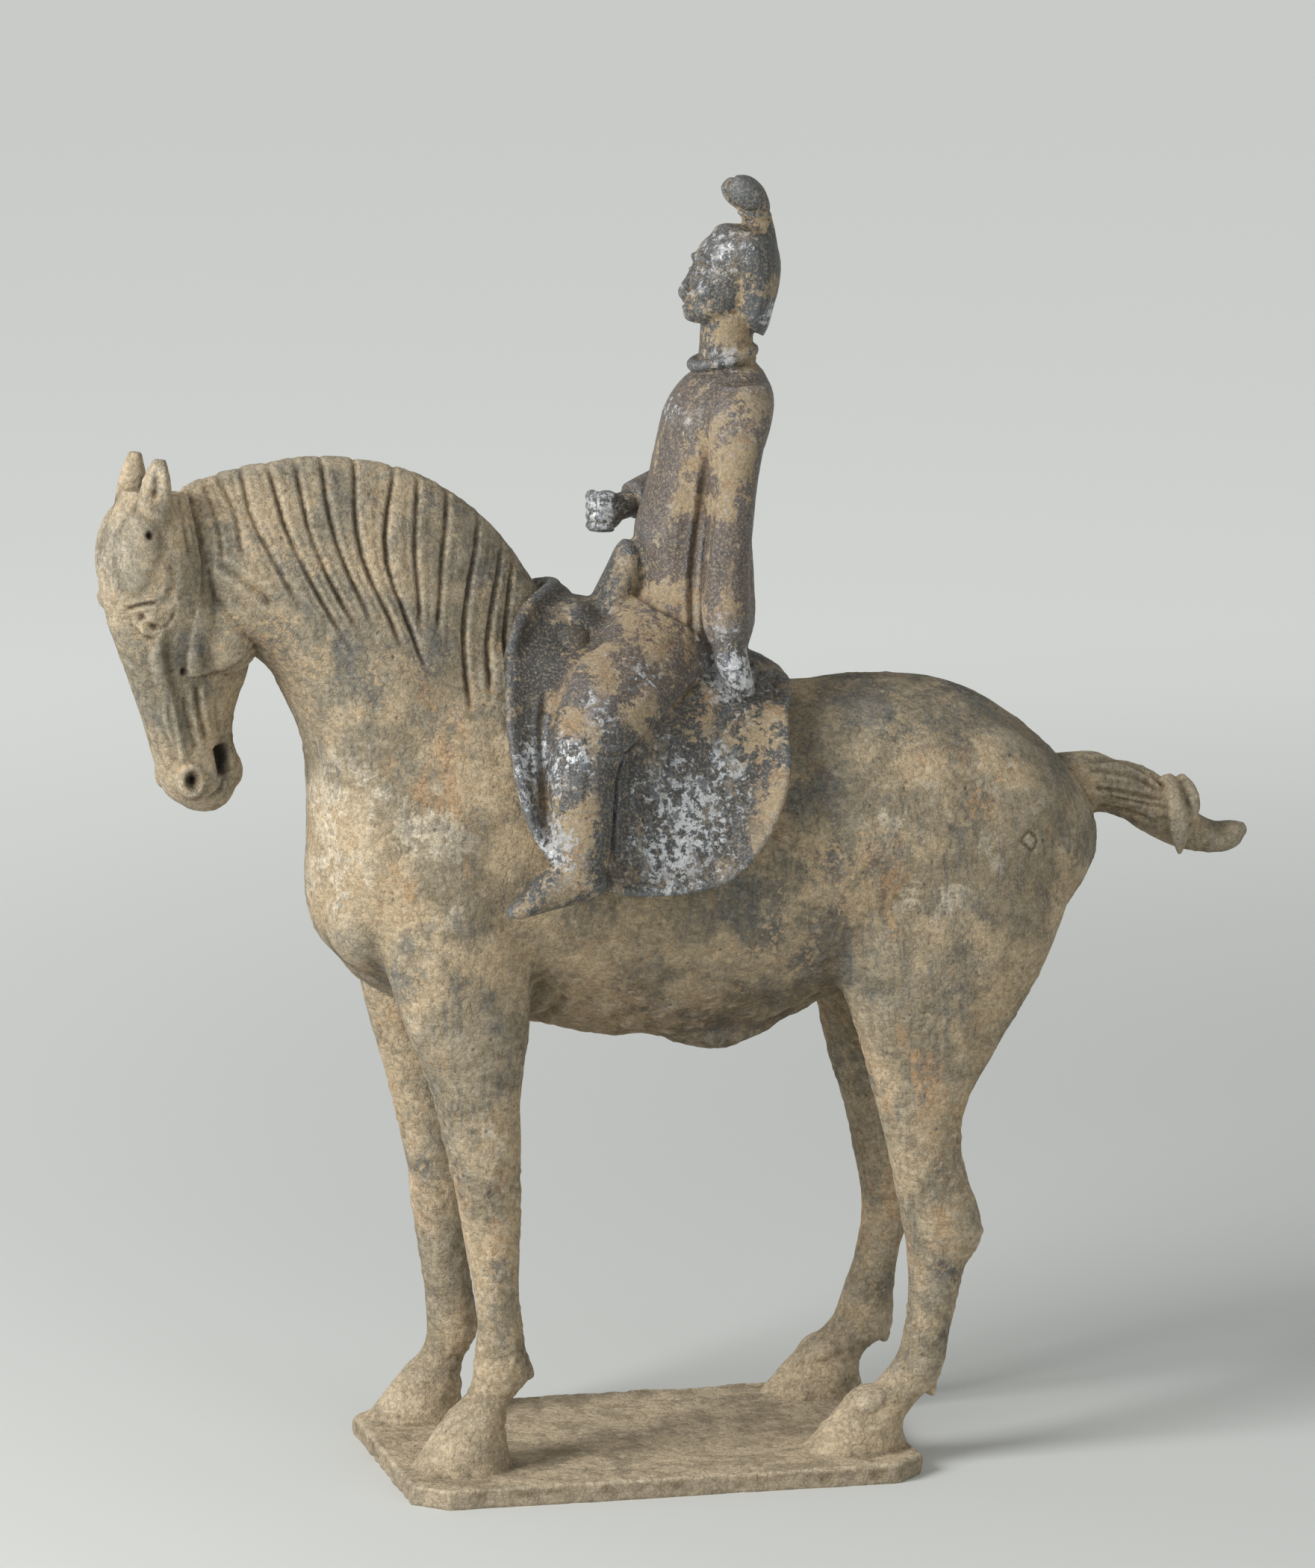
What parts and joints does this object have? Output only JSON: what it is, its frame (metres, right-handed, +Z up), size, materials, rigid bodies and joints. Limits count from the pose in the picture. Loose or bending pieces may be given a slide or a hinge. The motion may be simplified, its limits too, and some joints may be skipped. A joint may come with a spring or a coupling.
{
  "type": "horse and rider tomb figure",
  "caption": "Earthenware tomb figure of a saddled standing horse with a seated rider, on a flat slab with cut corners.",
  "frame": {"origin": "centre of the slab's underside", "axes": "+Z up; the horse faces -X, and its near (left) side faces -Y"},
  "size_m": [0.3659, 0.1233, 0.3988],
  "materials": {
    "fired_clay": "unglazed grey earthenware under buff earth, with worn dark slip on the saddle, the robe and the hair"
  },
  "bodies": {
    "root": {"horse_and_rider": "fired_clay"}
  },
  "joints": []
}
